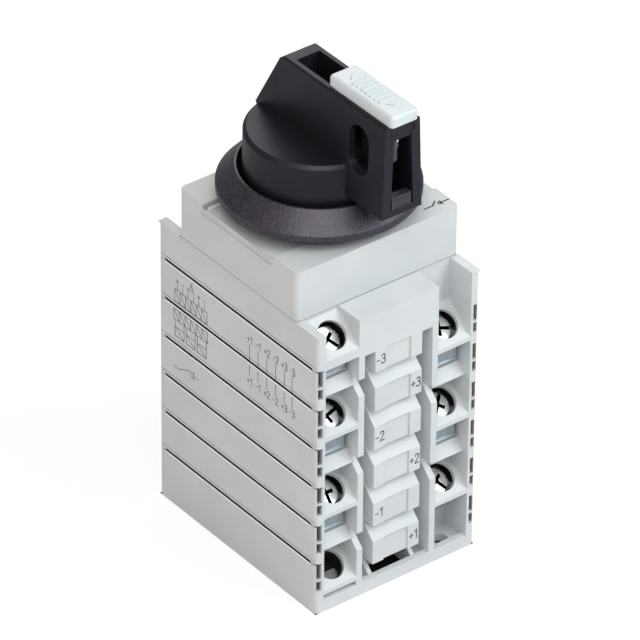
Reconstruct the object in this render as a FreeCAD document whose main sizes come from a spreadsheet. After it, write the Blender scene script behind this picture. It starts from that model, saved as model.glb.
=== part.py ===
import FreeCAD, Part
import Sketcher
import math
import os

os.makedirs("parts", exist_ok=True)
doc = FreeCAD.newDocument("isolator")
Vector = FreeCAD.Vector
Rotation = FreeCAD.Rotation
Placement = FreeCAD.Placement

# A rotary direct-current isolator for base mounting, in millimetres.
# X is its width, Y its depth with the front terminals on -Y, Z runs up the switch shaft.
# The origin is on the shaft's axis, in the plane of the base's underside.
# Six switched poles lie one above the other. Pole 0 is the top one and pole 5 the lowest.
POLES = 6
SIZES = {
    # Whole stack
    "body_width": 50.0, "body_depth": 64.6, "deck_pitch": 11.6, "base_height": 14.8,
    "shoulder_height": 10.0, "bay_depth": 8.6, "wing_thick": 2.5,
    "seam_gap": 0.45, "seam_depth": 1.8, "seam_tab": 2.4, "groove_rise": 1.2, "groove_height": 0.3,
    "groove_depth": 0.25, "fit_gap": 0.1, "running_gap": 0.3, "corner_round": 1.2,
    "deck_bevel": 0.3,
    # Screw faces and wire windows of the terminals
    "slope_rise": 7.0, "slope_drop": 1.5, "slope_lip": 1.3, "slope_inset": 0.3,
    "terminal_centre": 17.4, "terminal_half": 5.1, "access_radius": 3.9, "well_wall": 1.4,
    "spare_depth": 7.0,
    "window_drop": 6.4, "guide_run": 2.75, "guide_reach": 4.4,
    "wing_slot_left": 0.4, "wing_slot_width": 1.35, "wing_slot_height": 8.0, "wing_slot_depth": 3.2,
    "wing_slot_web": 0.5,
    # Ribs and stepped label blocks down the middle of the front and the back
    "block_shift": 7.1, "rib_inner": 10.5, "rib_outer": 12.3, "label_half": 7.25,
    "label_roof": 4.7, "label_recess_half": 3.8, "label_recess": 0.45,
    "cap_rise": 0.5, "cap_notch": 0.6, "wing_rise": 0.3,
    # Base
    "rim_height": 3.6, "rim_thick": 1.7, "bay_floor": 2.4,
    "mount_hole_radius": 2.15, "mount_hole_inset": 4.2, "small_wall": 1.2,
    # Switching chambers, rotors and contacts
    "chamber_radius": 17.0, "chamber_depth": 9.6, "shaft_hole": 5.3,
    "rotor_radius": 11.0, "rotor_height": 9.2, "dog_side": 6.6, "dog_grip": 1.4,
    "contact_drop": 6.3, "contact_thick": 1.5, "contact_half": 4.1, "contact_reach": 8.0,
    "contact_toe": 8.6, "contact_toe_back": 14.2, "blade_thick": 0.8, "blade_half": 3.0,
    "blade_radius": 15.5, "blade_bridge": 4.5, "pocket_play": 0.4,
    # Terminal screws and clamps, measured down the screw's own axis from the screw face
    "head_depth": 2.9, "head_height": 2.6, "head_radius": 3.35, "screw_radius": 1.95,
    "screw_length": 12.4, "slot_width": 0.9, "slot_depth": 1.3, "cross_half": 2.1,
    "clamp_thick": 1.5,
    "clamp_half": 3.5, "clamp_width_half": 4.3, "tab_depth": 10.0,
    # Through-bolts that hold the stack together
    "bolt_x": 20.4, "bolt_radius": 1.5, "bolt_head_radius": 2.8,
    "bolt_head_height": 2.2, "bolt_head_sink": 0.6, "bolt_play": 0.15,
    # Mechanism housing and what it holds
    "head_height_box": 14.7, "head_wall": 2.4, "head_top_wall": 2.2, "head_bore": 11.6,
    "channel_back": 14.2, "channel_depth": 0.8, "head_round": 1.4, "label_low": 3.1,
    "label_high": 1.4, "label_sink": 0.4, "label_front": 13.7, "label_back": 14.8,
    "plate_thick": 1.4, "plate_bore": 12.2,
    "ring_outer": 17.9, "ring_inner": 14.2, "ring_height": 4.0, "detent_radius": 1.6,
    "carrier_radius": 13.0, "carrier_height": 5.4, "hub_radius": 8.0, "hub_rise": 3.2,
    "spring_wire": 0.6, "spring_radius": 9.4, "spring_turns": 2.5, "spring_pitch": 1.7,
    # Collar under the handle, measured outwards from the drum that turns in it
    "collar_play": 1.2, "cone_lip": 0.6, "neck_wall": 0.7, "neck_height": 3.25, "rim_reach": 4.5,
    "rim_edge": 1.85, "cone_rise": 5.0,
    "collar_floor": 1.5, "spigot_inner": 9.5, "spigot_drop": 2.9,
    "lug_half": 1.4, "lug_width": 0.9, "lug_inset": 0.2, "lug_length": 2.5, "lug_gap": 0.5,
    # Handle: drum and lever
    "drum_radius": 19.1, "drum_draft": 0.3, "drum_height": 19.0, "drum_edge": 0.9,
    "drum_wall": 2.0, "drum_hollow": 10.0, "socket_radius": 8.5, "socket_height": 8.0,
    "spindle_side": 7.0,
    "lever_clear": 2.4, "lever_height": 26.0, "lever_front": 32.4, "lever_back_top": 8.8,
    "back_foot_inset": 0.6, "lever_half_top": 5.15, "lever_half_bottom": 6.1, "lever_edge": 0.4,
    "lever_back_edge": 0.9,
    "cavity_half": 3.5, "front_wall": 1.4, "cavity_floor": 1.7, "slot_back": 4.9,
    "cavity_step": 5.5, "land_drop": 0.1,
    "lock_hole_centre": 22.4, "lock_hole_rise": 15.1, "lock_hole_half": 3.85,
    "lock_hole_straight": 5.7,
    "window_half_top": 2.6, "window_half_bottom": 3.45, "neck_drop": 4.4,
    "tee_half": 3.5, "tee_height": 1.8, "tee_cover": 1.4,
    # Padlock slide, its rail, and the pawl that it drives down
    "slide_half": 4.15, "slide_length": 24.8, "slide_rise": 3.1, "slide_overhang": 0.9,
    "slide_round": 1.1, "slide_seat": 0.08, "tongue_half": 1.2,
    "tongue_front": 27.0, "tongue_back": 18.0, "tongue_rise": 8.4,
    "rib_spacing": 1.7, "grip_rib_width": 0.7, "grip_rib_rise": 0.3, "grip_rib_half": 2.5,
    "grip_arrow": 1.5,
    "pawl_travel": 2.5, "pawl_half": 2.9, "pawl_nose": 1.7, "pawl_back": 6.0,
    "tooth_play": 0.3, "tooth_half": 1.0, "pawl_arm": 3.2,
    "pawl_spring_radius": 1.3, "pawl_spring_wire": 0.3, "pawl_spring_centre": 12.5,
    "pawl_spring_turns": 3.0, "insert_half": 2.95, "insert_height": 3.4, "insert_length": 2.4,
    "handle_screw_radius": 1.5, "handle_head_radius": 2.8, "handle_head_height": 2.2,
}

sheet = doc.addObject("Spreadsheet::Sheet", "Sizes")
for row, (word, number) in enumerate(SIZES.items(), start=1):
    sheet.set(f"A{row}", word)
    sheet.set(f"B{row}", str(number))
    sheet.setAlias(f"B{row}", word)
doc.recompute()


class Size:
    """A length with its value now and the sheet formula that drives it."""

    def __init__(self, value, formula):
        self.value = value
        self.formula = formula

    def __add__(self, other):
        other = as_size(other)
        return Size(self.value + other.value, f"({self.formula} + {other.formula})")

    def __radd__(self, other):
        return as_size(other) + self

    def __sub__(self, other):
        other = as_size(other)
        return Size(self.value - other.value, f"({self.formula} - {other.formula})")

    def __rsub__(self, other):
        return as_size(other) - self

    def __mul__(self, other):
        other = as_size(other)
        return Size(self.value * other.value, f"({self.formula} * {other.formula})")

    def __rmul__(self, other):
        return as_size(other) * self

    def __truediv__(self, other):
        other = as_size(other)
        return Size(self.value / other.value, f"({self.formula} / {other.formula})")

    def __neg__(self):
        return Size(-self.value, f"(0 - {self.formula})")


def as_size(number):
    if isinstance(number, Size):
        return number
    return Size(float(number), f"({float(number)!r})")


def root(size):
    return Size(math.sqrt(size.value), f"sqrt({size.formula})")


def sized(word):
    return Size(float(sheet.get(word)), f"Sizes.{word}")


class Named:
    """Every word of the sheet as an attribute."""


S = Named()
for word in SIZES:
    setattr(S, word, sized(word))

# Heights and depths that several pieces share
half_width = S.body_width / 2
half_depth = S.body_depth / 2
core_half = half_depth - S.bay_depth
stack_top = S.base_height + 5 * S.deck_pitch
shoulder_top = stack_top + S.shoulder_height
head_top = shoulder_top + S.head_height_box
slope_length = root(S.slope_rise * S.slope_rise + S.bay_depth * S.bay_depth)
slope_cos = S.bay_depth / slope_length
slope_sin = S.slope_rise / slope_length
slope_angle = Size(math.degrees(math.atan(S.slope_rise.value / S.bay_depth.value)),
                   f"atan({S.slope_rise.formula} / {S.bay_depth.formula})")
rim_base = head_top + S.neck_height
rim_top = rim_base + S.rim_edge
cone_top = rim_top + S.cone_rise
collar_floor_top = head_top + S.collar_floor
drum_base = collar_floor_top + S.running_gap
drum_top = drum_base + S.drum_height
hub_join = shoulder_top + S.hub_rise
collar_bore = S.drum_radius + S.collar_play
cone_top_radius = collar_bore + S.cone_lip
collar_neck = collar_bore + S.neck_wall
rim_radius = collar_neck + S.rim_reach
lug_back = cone_top_radius - S.lug_inset
lug_front = lug_back + S.lug_length
tooth_back = lug_back + S.tooth_play
tooth_front = lug_front - S.tooth_play
pawl_front = tooth_front + S.pawl_nose
drum_top_radius = S.drum_radius - S.drum_draft
lever_bottom = cone_top + S.lever_clear
lever_top = lever_bottom + S.lever_height
lever_back_foot = drum_top_radius - S.back_foot_inset
screw_land = drum_top - S.land_drop
lock_hole_mid = lever_bottom + S.lock_hole_rise
window_neck = lever_top - S.neck_drop
tee_top = lever_top - S.tee_cover
tee_bottom = tee_top - S.tee_height
tongue_foot = lever_bottom + S.tongue_rise


def seam(pole):
    """Height of the seam under the deck that carries a pole's screw face."""
    return stack_top - pole * S.deck_pitch


def screw_side(pole):
    """Side of the front, left or right, on which a pole's terminal lies."""
    return -1 if pole % 2 == 0 else 1


# Sketch and feature helpers
PLANES = {"XY": "XY_Plane", "XZ": "XZ_Plane", "YZ": "YZ_Plane"}


def new_body(name):
    body = doc.addObject("PartDesign::Body", name)
    body.Label = name
    return body


def origin_plane(body, plane):
    for feature in body.Origin.OriginFeatures:
        if feature.Role == PLANES[plane]:
            return feature
    raise ValueError(plane)


def new_sketch(body, name, plane, offset):
    """A sketch on one of the body's origin planes, moved along the row axis that crosses it."""
    sketch = body.newObject("Sketcher::SketchObject", name)
    sketch.AttachmentSupport = [(origin_plane(body, plane), "")]
    sketch.MapMode = "FlatFace"
    along = -offset if plane == "XZ" else offset
    sketch.setExpression("AttachmentOffset.Base.z", along.formula)
    return sketch


def fix_point(sketch, geometry, end, x, y):
    """Ties a sketch point to the sketch's origin by the sheet."""
    for size, kind, axis in ((x, "DistanceX", -2), (y, "DistanceY", -1)):
        if abs(size.value) < 1e-9:
            sketch.addConstraint(Sketcher.Constraint("PointOnObject", geometry, end, axis))
        else:
            index = sketch.addConstraint(Sketcher.Constraint(kind, -1, 1, geometry, end, size.value))
            sketch.setExpression(f"Constraints[{index}]", size.formula)


def draw_outline(sketch, points):
    """A closed outline of straight runs through points given as pairs of sizes."""
    corners = [(as_size(x), as_size(y)) for x, y in points]
    count = len(corners)
    lines = []
    for index in range(count):
        x, y = corners[index]
        next_x, next_y = corners[(index + 1) % count]
        lines.append(Part.LineSegment(Vector(x.value, y.value, 0), Vector(next_x.value, next_y.value, 0)))
    sketch.addGeometry(lines, False)
    for index in range(count):
        sketch.addConstraint(Sketcher.Constraint("Coincident", index, 2, (index + 1) % count, 1))
    for index in range(count):
        fix_point(sketch, index, 1, *corners[index])


def draw_circle(sketch, x, y, radius):
    x, y = as_size(x), as_size(y)
    circle = Part.Circle(Vector(x.value, y.value, 0), Vector(0, 0, 1), radius.value)
    index = sketch.addGeometry(circle, False)
    bound = sketch.addConstraint(Sketcher.Constraint("Radius", index, radius.value))
    sketch.setExpression(f"Constraints[{bound}]", radius.formula)
    fix_point(sketch, index, 3, x, y)


def extrude(body, sketch, plane, length, cut):
    """Pads or pockets a sketch towards the positive row axis that crosses its plane."""
    kind = "PartDesign::Pocket" if cut else "PartDesign::Pad"
    feature = body.newObject(kind, sketch.Name + ("_cut" if cut else "_pad"))
    feature.Profile = sketch
    feature.Type = "Length"
    feature.setExpression("Length", length.formula)
    feature.Reversed = cut != (plane == "XZ")
    sketch.Visibility = False
    return feature


def prism(body, name, plane, points, low, high, cut=False):
    """A straight-sided block or cut between two places on the axis that crosses the plane."""
    low, high = as_size(low), as_size(high)
    sketch = new_sketch(body, f"{body.Name}_{name}", plane, low)
    draw_outline(sketch, points)
    return extrude(body, sketch, plane, high - low, cut)


def rectangle(x0, x1, y0, y1):
    return [(x0, y0), (x1, y0), (x1, y1), (x0, y1)]


def block(body, name, x, y, z, cut=False):
    """A rectangular block or cut given by its ranges on the three axes."""
    return prism(body, name, "XY", rectangle(x[0], x[1], y[0], y[1]), z[0], z[1], cut)


def ordered(a, b):
    """Two places in rising order, as sizes."""
    a, b = as_size(a), as_size(b)
    return (a, b) if a.value <= b.value else (b, a)


def turned(t, low, high):
    """A range that is kept at the front, t = 1, and turned half a turn for the back, t = -1."""
    return ordered(t * as_size(low), t * as_size(high))


def drum(body, name, circles, low, high, cut=False):
    """Round posts or holes along Z: a list of (x, y, radius)."""
    low, high = as_size(low), as_size(high)
    sketch = new_sketch(body, f"{body.Name}_{name}", "XY", low)
    for x, y, radius in circles:
        draw_circle(sketch, x, y, radius)
    return extrude(body, sketch, "XY", high - low, cut)


def revolve(body, name, points, cut=False):
    """Turns an outline of (radius, height) pairs about the shaft's axis."""
    sketch = new_sketch(body, f"{body.Name}_{name}", "XZ", as_size(0))
    draw_outline(sketch, points)
    kind = "PartDesign::Groove" if cut else "PartDesign::Revolution"
    feature = body.newObject(kind, sketch.Name + "_turned")
    feature.Profile = sketch
    feature.ReferenceAxis = (sketch, ["V_Axis"])
    feature.Angle = 360.0
    sketch.Visibility = False
    return feature


def fillet(body, name, radius, chosen):
    """Rounds the edges whose bounding boxes pass a test, on the body as it stands."""
    doc.recompute()
    edges = [f"Edge{index}" for index, edge in enumerate(body.Shape.Edges, start=1)
             if chosen(edge.BoundBox)]
    base = body.Tip
    feature = body.newObject("PartDesign::Fillet", f"{body.Name}_{name}")
    feature.Base = (base, edges)
    feature.setExpression("Radius", radius.formula)
    return feature


def round_corners(body, x, y, radius):
    """Rounds the four upright outer corners at plus and minus x and y."""
    def at_corner(box):
        upright = box.XLength < 0.01 and box.YLength < 0.01
        return (upright and abs(abs(box.Center.x) - x.value) < 0.01
                and abs(abs(box.Center.y) - y.value) < 0.01)
    return fillet(body, "corners", radius, at_corner)


def slanted_sketch(body, name, t, x, y, z):
    """A sketch on the screw face's own slope, centred on the terminal."""
    sketch = body.newObject("Sketcher::SketchObject", f"{body.Name}_{name}")
    sketch.AttachmentSupport = [(origin_plane(body, "XY"), "")]
    sketch.MapMode = "FlatFace"
    sketch.AttachmentOffset = Placement(Vector(x.value, y.value, z.value),
                                        Rotation(Vector(1, 0, 0), t * slope_angle.value))
    for axis, size in (("x", x), ("y", y), ("z", z)):
        sketch.setExpression(f"AttachmentOffset.Base.{axis}", size.formula)
    sketch.setExpression("AttachmentOffset.Rotation.Angle", slope_angle.formula)
    if t < 0:
        sketch.AttachmentOffset = Placement(Vector(x.value, y.value, z.value),
                                            Rotation(Vector(-1, 0, 0), slope_angle.value))
    return sketch


def slanted_hole(body, name, t, x, y, z, radius, depth):
    """A round hole square to the screw face."""
    sketch = slanted_sketch(body, name, t, x, y, z)
    draw_circle(sketch, 0, 0, radius)
    feature = body.newObject("PartDesign::Pocket", sketch.Name + "_cut")
    feature.Profile = sketch
    feature.Type = "Length"
    feature.setExpression("Length", depth.formula)
    sketch.Visibility = False
    return feature


def down_axis(pole, t, depth, along):
    """A point (y, z) in a terminal's own frame: depth down the screw, along up the slope."""
    y = -(half_depth - S.bay_depth / 2) + depth * slope_sin + along * slope_cos
    z = slope_centre(pole) - depth * slope_cos + along * slope_sin
    return (t * y, z)


def slope_top(pole):
    """Height at which a pole's screw face meets the wall behind it."""
    if pole == 0:
        return shoulder_top - S.slope_inset
    return seam(pole) + S.deck_pitch - S.slope_drop


def slope_centre(pole):
    return slope_top(pole) - S.slope_rise / 2


def lip_bottom(pole):
    if pole == 0:
        return seam(0)
    return slope_top(pole) - S.slope_rise - S.slope_lip


def terminal_range(side, t, half):
    """Range on X of a terminal, for the front (t = 1) or turned for the back (t = -1)."""
    centre = side * t * S.terminal_centre
    return (centre - half, centre + half)


# Parts of a deck's front, made once for the front and once turned for the back
def deck_outline(body, name, low, high):
    """The H-shaped plan: a core with four thin wings that shield the terminals."""
    inner = half_width - S.wing_thick
    plan = [(-half_width, -half_depth), (-inner, -half_depth), (-inner, -core_half),
            (inner, -core_half), (inner, -half_depth), (half_width, -half_depth),
            (half_width, half_depth), (inner, half_depth), (inner, core_half),
            (-inner, core_half), (-inner, half_depth), (-half_width, half_depth)]
    prism(body, name, "XY", plan, low, high)
    return round_corners(body, half_width, half_depth, S.corner_round)


def screw_face(body, name, t, pole):
    """The sloping block under a pole's screw, from the rib to the wing."""
    side = screw_side(pole)
    top = slope_top(pole)
    section = [(-t * core_half, top), (-t * half_depth, top - S.slope_rise),
               (-t * half_depth, lip_bottom(pole)), (-t * core_half, lip_bottom(pole))]
    low, high = turned(t, *ordered(side * (S.terminal_centre - S.terminal_half),
                                   side * (half_width - S.wing_thick)))
    return prism(body, name, "YZ", section, low, high)


def screw_well(body, name, t, pole, depth):
    """The round hole over the screw."""
    x = t * screw_side(pole) * S.terminal_centre
    y = -t * (half_depth - S.bay_depth / 2)
    return slanted_hole(body, name + "_well", t, x, y, slope_centre(pole), S.access_radius, depth)


def clamp_cavity(body, name, t, pole):
    """The tilted space under the well for the whole screw, the clamp and the contact's tab."""
    low, high = terminal_range(screw_side(pole), t, S.clamp_width_half + S.pocket_play)
    top = S.well_wall
    foot = S.screw_length + S.pocket_play
    reach = S.clamp_half + S.pocket_play
    section = [down_axis(pole, t, top, -reach), down_axis(pole, t, top, reach),
               down_axis(pole, t, foot, reach), down_axis(pole, t, foot, -reach)]
    return prism(body, name, "YZ", section, low, high, cut=True)


def wire_guide(body, name, t, pole):
    """The funnel lip under a wire window, level with the chamfered rib beside it."""
    side = screw_side(pole)
    top = seam(pole) - S.window_drop
    foot = top - S.guide_run
    edge = half_depth - (S.guide_reach - S.guide_run)
    section = [(-t * core_half, top), (-t * (half_depth - S.guide_reach), top),
               (-t * edge, foot), (-t * core_half, foot)]
    low, high = turned(t, *ordered(side * (S.terminal_centre - S.terminal_half),
                                   side * (half_width - S.wing_thick)))
    return prism(body, name, "YZ", section, low, high)


def contact_pocket(body, name, t, pole, floor):
    """The channel that takes a pole's fixed contact from its window to the chamber."""
    low, high = terminal_range(screw_side(pole), t, S.clamp_width_half + S.pocket_play)
    y = turned(t, -core_half - S.fit_gap, -(S.contact_reach - S.pocket_play))
    block(body, name, (low, high), y, (floor, seam(pole)), cut=True)
    side = t * screw_side(pole)
    toe = ordered(side * (S.contact_toe - S.pocket_play), side * S.terminal_centre)
    y = turned(t, -(S.contact_toe_back + S.pocket_play), -(S.contact_reach - S.pocket_play))
    return block(body, name + "_toe", toe, y, (floor, seam(pole)), cut=True)


def rib(body, name, t, side, low, high, chamfered):
    """A thin rib between the terminals and the label blocks."""
    lean = S.guide_reach - (high - (seam_above(high) - S.window_drop)) if chamfered else None
    section = [(-t * core_half, low), (-t * half_depth, low), (-t * half_depth, high),
               (-t * core_half, high)]
    if chamfered:
        section = [(-t * core_half, low), (-t * half_depth, low), (-t * half_depth, high - lean),
                   (-t * (half_depth - lean), high), (-t * core_half, high)]
    x = turned(t, *ordered(side * S.rib_inner, side * S.rib_outer))
    return prism(body, name, "YZ", section, x[0], x[1])


def seam_above(rib_top):
    """Height of the seam that lies above the top of a chamfered rib."""
    return rib_top + S.block_shift


def label_block(body, name, t, low, high, roofed):
    """One step of the label ladder: an upright face under a 45 degree roof."""
    face_top = high - S.label_roof
    section = [(-t * core_half, low), (-t * half_depth, low), (-t * half_depth, face_top),
               (-t * (half_depth - S.label_roof), high), (-t * core_half, high)]
    if not roofed:
        section = [(-t * core_half, low), (-t * half_depth, low), (-t * half_depth, high),
                   (-t * core_half, high)]
        face_top = high - S.cap_notch
    prism(body, name, "YZ", section, -S.label_half, S.label_half)
    y = turned(t, -half_depth - S.fit_gap, -(half_depth - S.label_recess))
    block(body, name + "_recess", (-S.label_recess_half, S.label_recess_half), y,
          (low, face_top), cut=True)


def wing_slots(body, name, top, bottom_limit):
    """The upright slots in the four wing edges, each with a cross web."""
    low = top - S.wing_slot_height
    low = low if low.value > bottom_limit.value else bottom_limit
    web = top - S.wing_slot_height * 0.62
    for t in (1, -1):
        for side in (-1, 1):
            x = ordered(side * (half_width - S.wing_slot_left),
                        side * (half_width - S.wing_slot_left - S.wing_slot_width))
            y = turned(t, -half_depth - S.fit_gap, -(half_depth - S.wing_slot_depth))
            word = f"{name}_{'fb'[t < 0]}{'lr'[side > 0]}"
            block(body, word + "_upper", x, y, (web + S.wing_slot_web, top), cut=True)
            block(body, word + "_lower", x, y, (low, web), cut=True)


def side_seam(body, name, low):
    """The shadow gap and the fine groove low on both side faces of a deck."""
    for side in (-1, 1):
        gap = ordered(side * (half_width - S.seam_depth), side * (half_width + S.fit_gap))
        tab = half_depth - S.seam_tab
        block(body, f"{name}_gap{side + 1}", gap, (-half_depth - S.fit_gap, tab),
              (low - S.fit_gap, low + S.seam_gap), cut=True)
        line = ordered(side * (half_width - S.groove_depth), side * (half_width + S.fit_gap))
        block(body, f"{name}_line{side + 1}", line, (-half_depth - S.fit_gap, half_depth + S.fit_gap),
              (low + S.groove_rise, low + S.groove_rise + S.groove_height), cut=True)


def deck_bevels(body, name, top):
    """The small bevels along the top edges of both side faces."""
    over = S.deck_bevel + S.fit_gap
    for side in (-1, 1):
        edge = side * half_width
        out = edge + side * S.fit_gap
        section = [(edge - side * over, top + S.fit_gap), (out, top + S.fit_gap), (out, top - over)]
        prism(body, f"{name}{side + 1}", "XZ", section, -half_depth - S.fit_gap,
              half_depth + S.fit_gap, cut=True)


def bolt_places():
    return [(S.bolt_x, as_size(0)), (-S.bolt_x, as_size(0))]


def bolt_bores(body, name, low, high):
    circles = [(x, y, S.bolt_radius + S.bolt_play) for x, y in bolt_places()]
    return drum(body, name, circles, low, high, cut=True)


def chamber(body, top, low):
    """The round switching chamber, open at the top, and the hole for the rotor's dog below."""
    drum(body, "chamber", [(0, 0, S.chamber_radius)], top - S.chamber_depth, top, cut=True)
    if low is not None:
        drum(body, "dog_hole", [(0, 0, S.shaft_hole)], low, top, cut=True)


# Housings
def deck_housing(number):
    """Deck number 1 to 5: screw face of its own pole, window and chamber of the pole above."""
    body = new_body(f"deck_housing_{number}")
    low = seam(number)
    top = seam(number - 1)
    upper = number - 1
    deck_outline(body, "plan", low, top)
    shift_low = low - S.block_shift
    shift_top = top - S.block_shift
    for t in (1, -1):
        mark = "front" if t > 0 else "back"
        screw_face(body, f"face_{mark}", t, number)
        wire_guide(body, f"guide_{mark}", t, upper)
        rib(body, f"rib_a_{mark}", t, screw_side(number), shift_low, shift_top, False)
        rib(body, f"rib_b_{mark}", t, screw_side(upper), shift_low, shift_top, True)
        label_block(body, f"label_{mark}", t, shift_low, shift_top, True)
    chamber(body, top, low)
    for t in (1, -1):
        mark = "front" if t > 0 else "back"
        contact_pocket(body, f"pocket_{mark}", t, upper, top - S.window_drop)
        screw_well(body, f"screw_{mark}", t, number, S.well_wall)
        clamp_cavity(body, f"clamp_{mark}", t, number)
    bolt_bores(body, "bolts", low, top)
    wing_slots(body, "slot", top, low)
    side_seam(body, "seam", low)
    deck_bevels(body, "bevel", top)
    return body


def top_deck_housing():
    """The shoulder: screw face of pole 0, the plain cap and the floor of the drive's chamber."""
    body = new_body("top_deck_housing")
    low = seam(0)
    deck_outline(body, "plan", low, shoulder_top)
    for t in (1, -1):
        mark = "front" if t > 0 else "back"
        for side in (-1, 1):
            word = f"wing_{mark}_{side + 1}"
            x = ordered(side * (half_width - S.wing_thick), side * half_width)
            block(body, word, x, turned(t, -half_depth, -core_half),
                  (shoulder_top, shoulder_top + S.wing_rise))
            rib(body, f"rib_{mark}_{side + 1}", t, side, low - S.block_shift, low, False)
        screw_face(body, f"face_{mark}", t, 0)
        label_block(body, f"label_{mark}", t, low - S.block_shift, low, False)
        cap = ordered(-S.rib_outer, S.rib_outer)
        block(body, f"cap_{mark}", cap, turned(t, -half_depth, -core_half),
              (low - S.cap_notch, shoulder_top + S.cap_rise))
    drum(body, "chamber", [(0, 0, S.chamber_radius)], low + (S.deck_pitch - S.chamber_depth),
         shoulder_top, cut=True)
    drum(body, "dog_hole", [(0, 0, S.shaft_hole)], low, shoulder_top, cut=True)
    for t in (1, -1):
        mark = "front" if t > 0 else "back"
        screw_well(body, f"screw_{mark}", t, 0, S.well_wall)
        clamp_cavity(body, f"clamp_{mark}", t, 0)
    bolt_bores(body, "bolts", low, shoulder_top)
    side_seam(body, "seam", low)
    return body


def base_housing():
    """The base: chamber of the lowest pole, open bays, front rim and fixing holes."""
    body = new_body("base_housing")
    top = S.base_height
    deck_outline(body, "plan", as_size(0), top)
    rib_top = top - S.block_shift
    inner = half_width - S.wing_thick
    for t in (1, -1):
        mark = "front" if t > 0 else "back"
        block(body, f"rim_{mark}", (-inner, inner), turned(t, -half_depth, -(half_depth - S.rim_thick)),
              (as_size(0), S.rim_height))
        for side in (-1, 1):
            x = ordered(side * (S.label_half - S.small_wall), side * inner)
            block(body, f"floor_{mark}_{side + 1}", x,
                  turned(t, -(half_depth - S.rim_thick), -core_half), (as_size(0), S.bay_floor))
            lean = rib_top - S.rim_height
            wall = [(-t * core_half, as_size(0)), (-t * (half_depth - S.rim_thick), as_size(0)),
                    (-t * (half_depth - S.rim_thick), S.rim_height),
                    (-t * (half_depth - S.rim_thick - lean), rib_top), (-t * core_half, rib_top)]
            x = ordered(side * (S.label_half - S.small_wall), side * S.label_half)
            prism(body, f"wall_{mark}_{side + 1}", "YZ", wall, x[0], x[1])
            post = [(-t * core_half, S.bay_floor), (-t * (half_depth - S.rim_thick), S.bay_floor),
                    (-t * half_depth, S.rim_height), (-t * half_depth, rib_top), (-t * core_half, rib_top)]
            x = ordered(side * S.rib_inner, side * S.rib_outer)
            prism(body, f"post_{mark}_{side + 1}", "YZ", post, x[0], x[1])
        screw_face(body, f"face_{mark}", t, POLES)
    chamber(body, top, None)
    for t in (1, -1):
        mark = "front" if t > 0 else "back"
        contact_pocket(body, f"pocket_{mark}", t, POLES - 1, top - S.window_drop)
        screw_well(body, f"screw_{mark}", t, POLES, S.spare_depth)
        x = t * screw_side(POLES - 1) * S.terminal_centre
        y = -t * (half_depth - S.mount_hole_inset)
        drum(body, f"fixing_{mark}", [(x, y, S.mount_hole_radius)], as_size(0), S.bay_floor, cut=True)
    heads = [(x, y, S.bolt_head_radius + S.bolt_play) for x, y in bolt_places()]
    drum(body, "bolt_heads", heads, as_size(0), S.bolt_head_sink + S.bolt_head_height, cut=True)
    bolt_bores(body, "bolts", as_size(0), top)
    wing_slots(body, "slot", top, S.rim_height)
    deck_bevels(body, "bevel", top)
    return body


def mechanism_housing():
    """The box over the stack, hollow below, with a bore for the spindle and collar."""
    body = new_body("mechanism_housing")
    block(body, "outer", (-half_width, half_width), (-core_half, core_half), (shoulder_top, head_top))
    round_corners(body, half_width, core_half, S.head_round)
    inner_x = half_width - S.head_wall
    inner_y = core_half - S.head_wall
    block(body, "hollow", (-inner_x, inner_x), (-inner_y, inner_y),
          (shoulder_top, head_top - S.head_top_wall), cut=True)
    drum(body, "bore", [(0, 0, S.head_bore)], head_top - S.head_top_wall, head_top, cut=True)
    block(body, "channel", (-half_width, half_width), (-S.channel_back, S.channel_back),
          (head_top - S.channel_depth, head_top), cut=True)
    for side in (-1, 1):
        x = ordered(side * (half_width - S.label_sink), side * (half_width + S.fit_gap))
        block(body, f"label{side + 1}", x, (-S.label_front, S.label_back),
              (head_top - S.label_low, head_top - S.label_high), cut=True)
    return body


def mechanism_plate():
    """The steel plate that the through-bolts pull against."""
    body = new_body("mechanism_plate")
    play = S.pocket_play
    x = half_width - S.head_wall - play
    y = core_half - S.head_wall - play
    block(body, "sheet", (-x, x), (-y, y), (shoulder_top, shoulder_top + S.plate_thick))
    drum(body, "bore", [(0, 0, S.plate_bore)], shoulder_top, shoulder_top + S.plate_thick, cut=True)
    circles = [(px, py, S.bolt_radius) for px, py in bolt_places()]
    drum(body, "threads", circles, shoulder_top, shoulder_top + S.plate_thick, cut=True)
    return body


def detent_ring():
    """The fixed ring whose four notches hold the switch in its end positions."""
    body = new_body("detent_ring")
    low = shoulder_top + S.plate_thick
    high = low + S.ring_height
    revolve(body, "ring", [(S.ring_inner, low), (S.ring_outer, low), (S.ring_outer, high),
                           (S.ring_inner, high)])
    notches = [(S.ring_inner, 0, S.detent_radius), (-S.ring_inner, 0, S.detent_radius),
               (0, S.ring_inner, S.detent_radius), (0, -S.ring_inner, S.detent_radius)]
    drum(body, "notches", notches, low, high, cut=True)
    return body


def collar():
    """The flared ring that the handle turns in, with two lugs that the pawl drops between."""
    body = new_body("collar")
    revolve(body, "ring", [(S.spigot_inner, head_top - S.spigot_drop),
                           (S.head_bore - S.fit_gap, head_top - S.spigot_drop),
                           (S.head_bore - S.fit_gap, head_top), (collar_neck, head_top),
                           (collar_neck, rim_base), (rim_radius, rim_base),
                           (rim_radius, rim_top), (cone_top_radius, cone_top),
                           (collar_bore, cone_top), (collar_bore, collar_floor_top),
                           (S.spigot_inner, collar_floor_top)])
    for side in (-1, 1):
        x = ordered(side * S.lug_half, side * (S.lug_half + S.lug_width))
        block(body, f"lug{side + 1}", x, (-lug_front, -lug_back),
              (rim_top, lever_bottom - S.lug_gap))
    return body


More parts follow.
